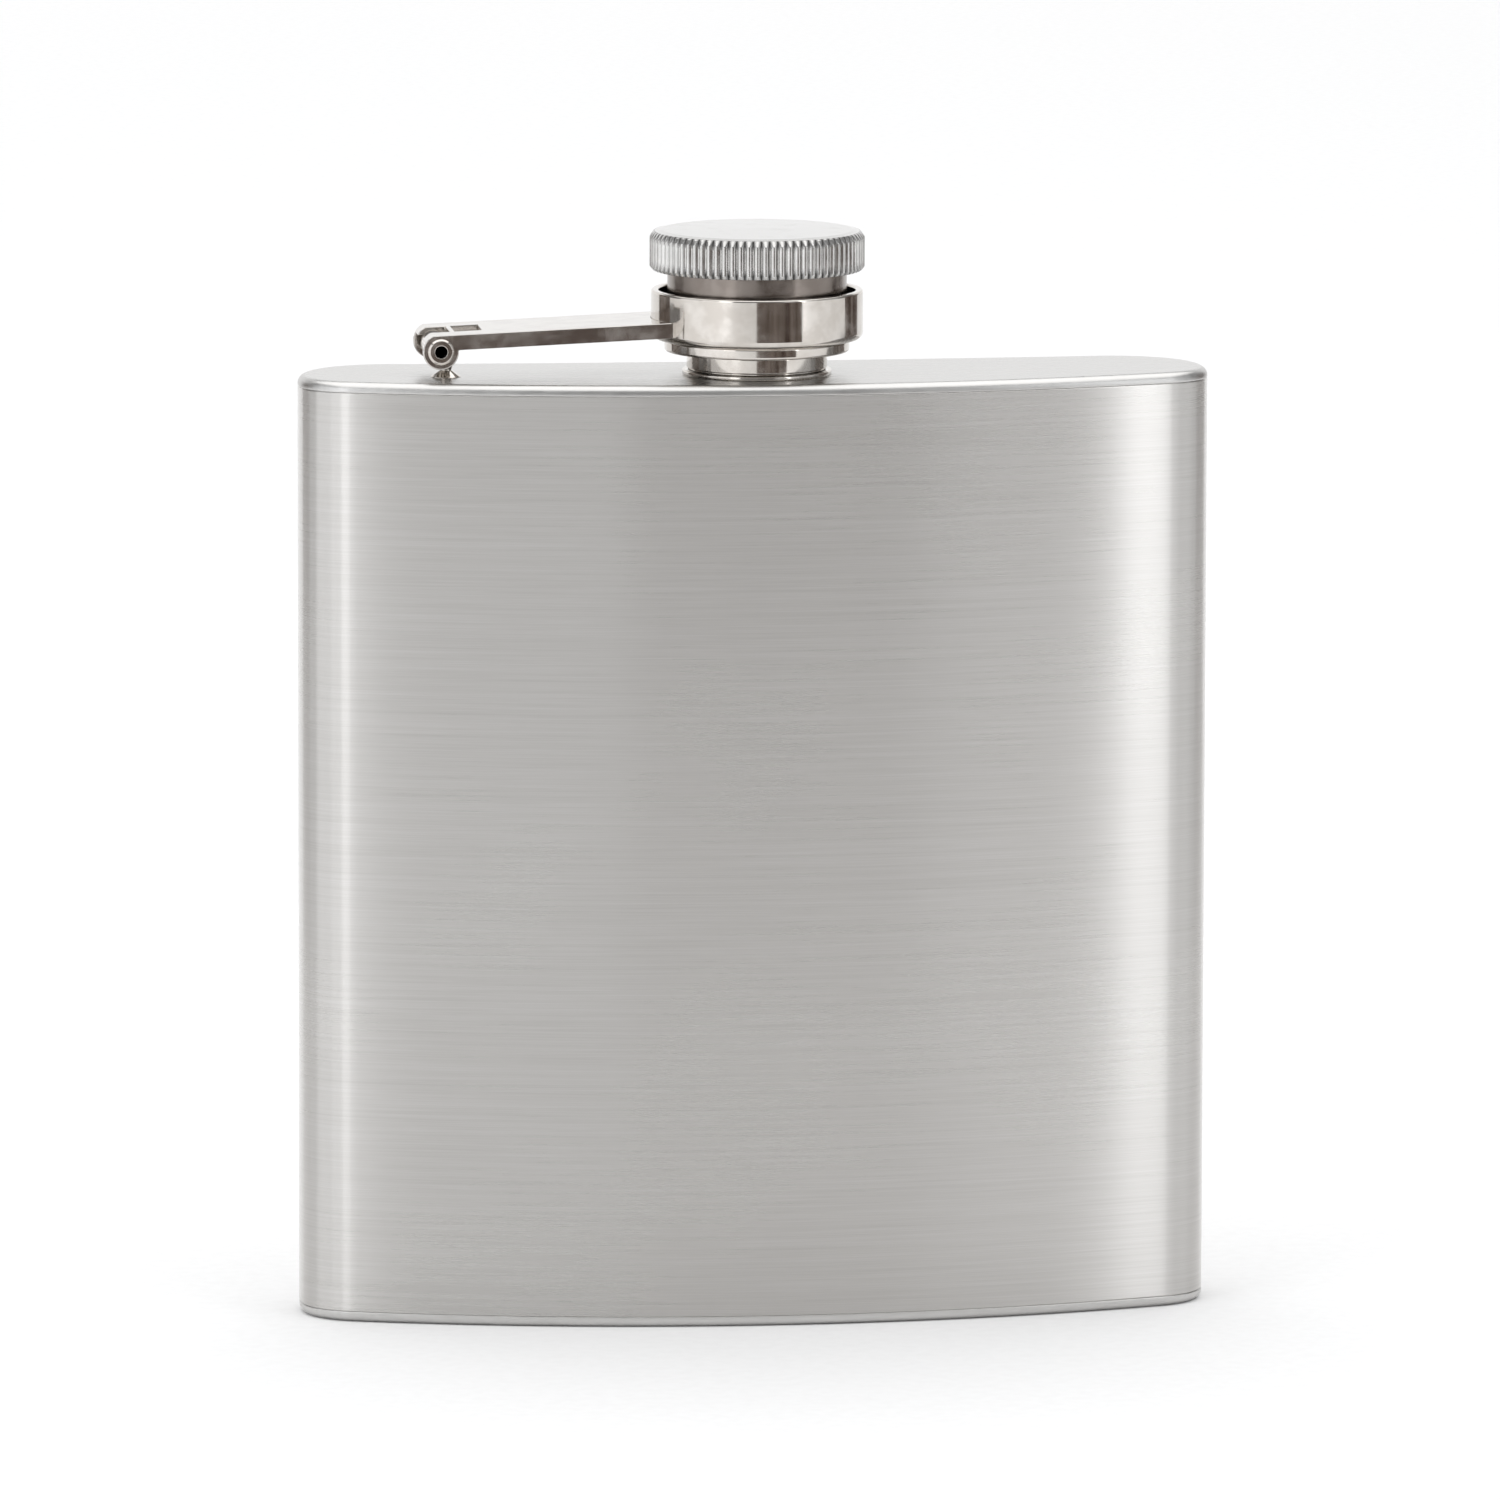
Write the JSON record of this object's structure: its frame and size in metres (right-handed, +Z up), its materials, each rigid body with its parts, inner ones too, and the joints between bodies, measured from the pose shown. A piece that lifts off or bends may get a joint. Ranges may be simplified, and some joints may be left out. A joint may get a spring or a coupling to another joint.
{
  "type": "hip flask",
  "caption": "Curved flat stainless steel pocket bottle with a knurled screw cap held in the ring of a hinged arm.",
  "frame": {"origin": "centre of the flask's bottom face, on the axis of the neck and cap", "axes": "+Z up along the neck, +X to the right when the bowed front is faced, +Y towards the slightly hollow back"},
  "size_m": [0.095, 0.0237, 0.1135],
  "materials": {
    "brushed_body": "horizontally brushed stainless steel",
    "brushed_plate": "satin stainless steel with a polished rim",
    "polished_fitting": "polished stainless steel",
    "weld_bead": "as welded",
    "seal": "translucent white silicone"
  },
  "bodies": {
    "flask": {"body_shell": "brushed_body", "side_weld": "weld_bead", "shoulder_plate": "brushed_plate", "base_plate": "brushed_plate", "neck_tube": "polished_fitting", "neck_seat_ring": "polished_fitting", "hinge_post": "polished_fitting"},
    "arm": {"arm_strap": "polished_fitting", "arm_ring": "polished_fitting", "hinge_pin": "polished_fitting"},
    "cap_carrier": {"cap_retaining_ring": "polished_fitting"},
    "cap": {"cap_head": "polished_fitting", "cap_sleeve": "polished_fitting", "cap_gasket": "seal"}
  },
  "joints": [
    {"name": "arm_swing", "type": "hinge", "parent": "flask", "child": "arm", "pos_m": [-0.03345, 0, 0.1016], "axis": [0, -1, 0], "range_deg": [0, 182]},
    {"name": "cap_travel", "type": "slide", "parent": "arm", "child": "cap_carrier", "axis": [0, 0, 1], "range_m": [-0.00196, 0]},
    {"name": "cap_turn", "type": "hinge", "parent": "cap_carrier", "child": "cap", "pos_m": [0, 0, 0.1064], "axis": [0, 0, 1], "range_deg": [-468, 0]}
  ],
  "couplings": [
    {"joint": "cap_travel", "follows": "cap_turn", "m_per_rad": 0.00023873}
  ]
}
